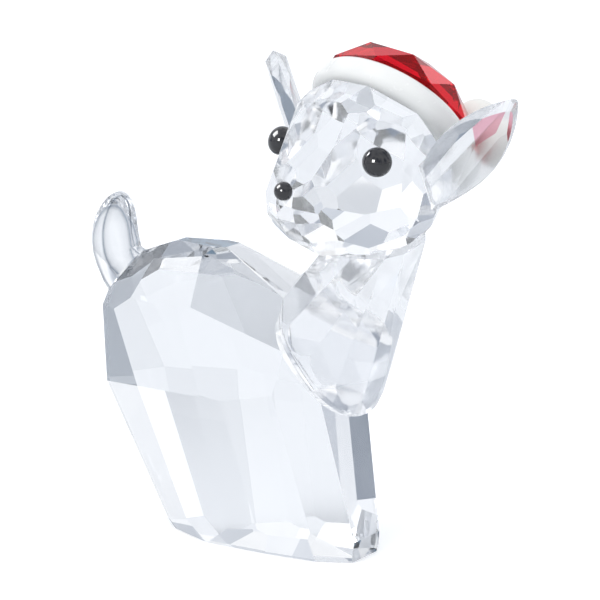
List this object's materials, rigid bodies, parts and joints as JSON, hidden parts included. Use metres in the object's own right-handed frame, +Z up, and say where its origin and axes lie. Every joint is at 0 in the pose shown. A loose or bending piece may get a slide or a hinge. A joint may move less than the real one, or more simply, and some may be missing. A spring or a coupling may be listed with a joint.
{
  "type": "crystal reindeer figurine",
  "caption": "Faceted clear crystal fawn figurine looking back over its shoulder, with black domed eyes and nose and a red crystal hat with a white band and pompom.",
  "frame": {"origin": "middle of the flat foot face that the figurine stands on", "axes": "+X towards the chest, +Y to the fawn's left, +Z up; the head is turned to the fawn's right, towards -Y"},
  "size_m": [0.0502, 0.0275, 0.0536],
  "materials": {
    "body_crystal": "polished",
    "neck_crystal": "polished",
    "tail_crystal": "polished",
    "head_crystal": "polished",
    "ear_crystal": "polished",
    "black_crystal": "polished",
    "red_crystal": "polished",
    "band_white": "gloss",
    "pompom_white": "satin"
  },
  "bodies": {
    "root": {"body": "body_crystal", "neck": "neck_crystal", "tail": "tail_crystal", "head": "head_crystal", "left_ear": "ear_crystal", "right_ear": "ear_crystal", "left_eye": "black_crystal", "right_eye": "black_crystal", "nose": "black_crystal", "hat_band": "band_white", "hat_crown": "red_crystal", "pompom": "pompom_white"}
  },
  "joints": []
}
